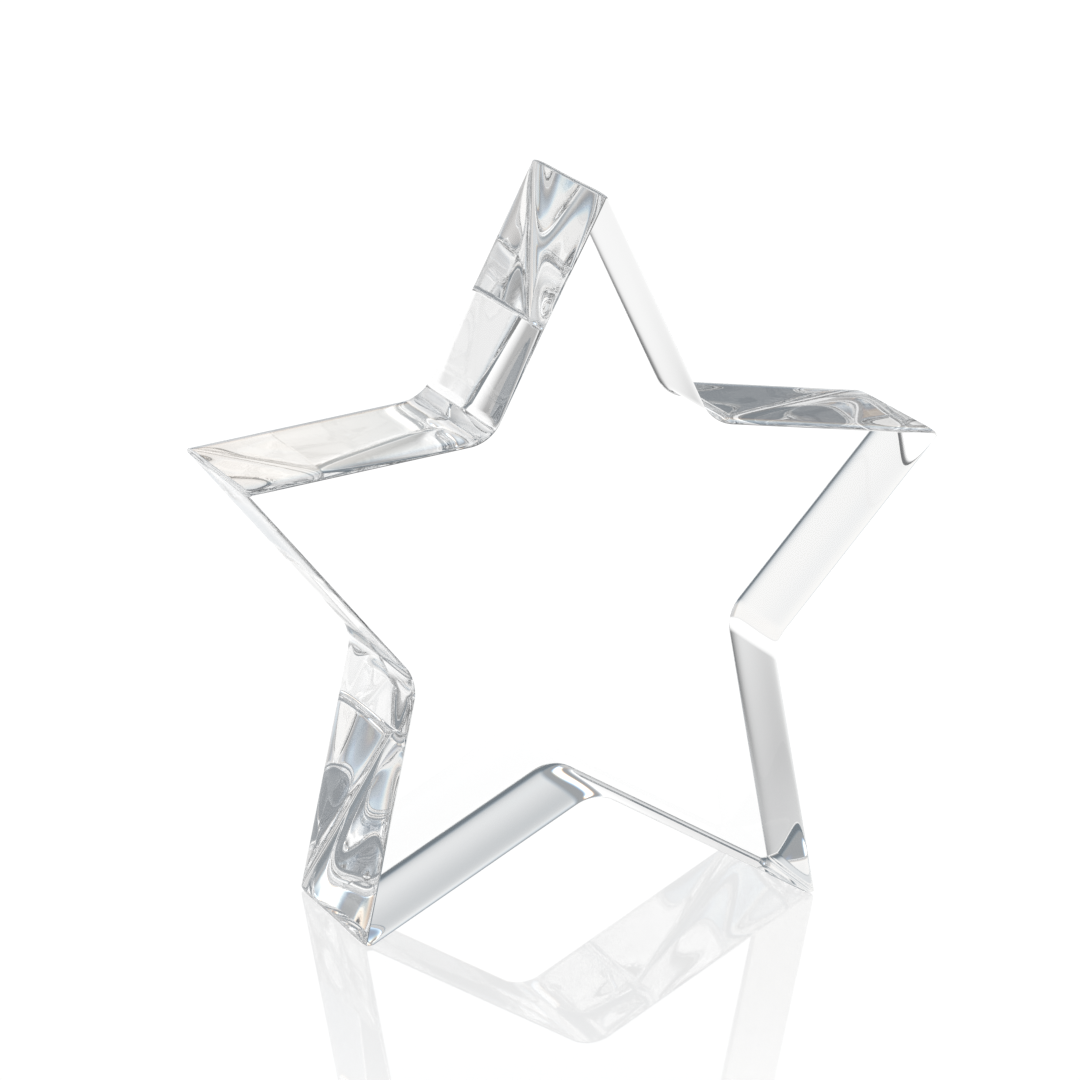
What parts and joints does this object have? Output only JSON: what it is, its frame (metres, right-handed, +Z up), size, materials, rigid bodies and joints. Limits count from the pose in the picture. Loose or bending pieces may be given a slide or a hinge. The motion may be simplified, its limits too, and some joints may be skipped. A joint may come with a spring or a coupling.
{
  "type": "star trophy",
  "caption": "Free-standing clear star trophy: one thick polished block with flat front and back faces, pointed arms and rounded notches, standing on its two lower tips.",
  "frame": {"origin": "on the floor, midway between the two feet and midway through the thickness", "axes": "+Z up through the top point, +Y from the front face to the back face, +X towards the side point that is on the right when the front face is viewed"},
  "size_m": [0.1484, 0.038, 0.15],
  "materials": {
    "clear_acrylic": "clear, polished on every face"
  },
  "bodies": {
    "root": {"star_block": "clear_acrylic"}
  },
  "joints": []
}
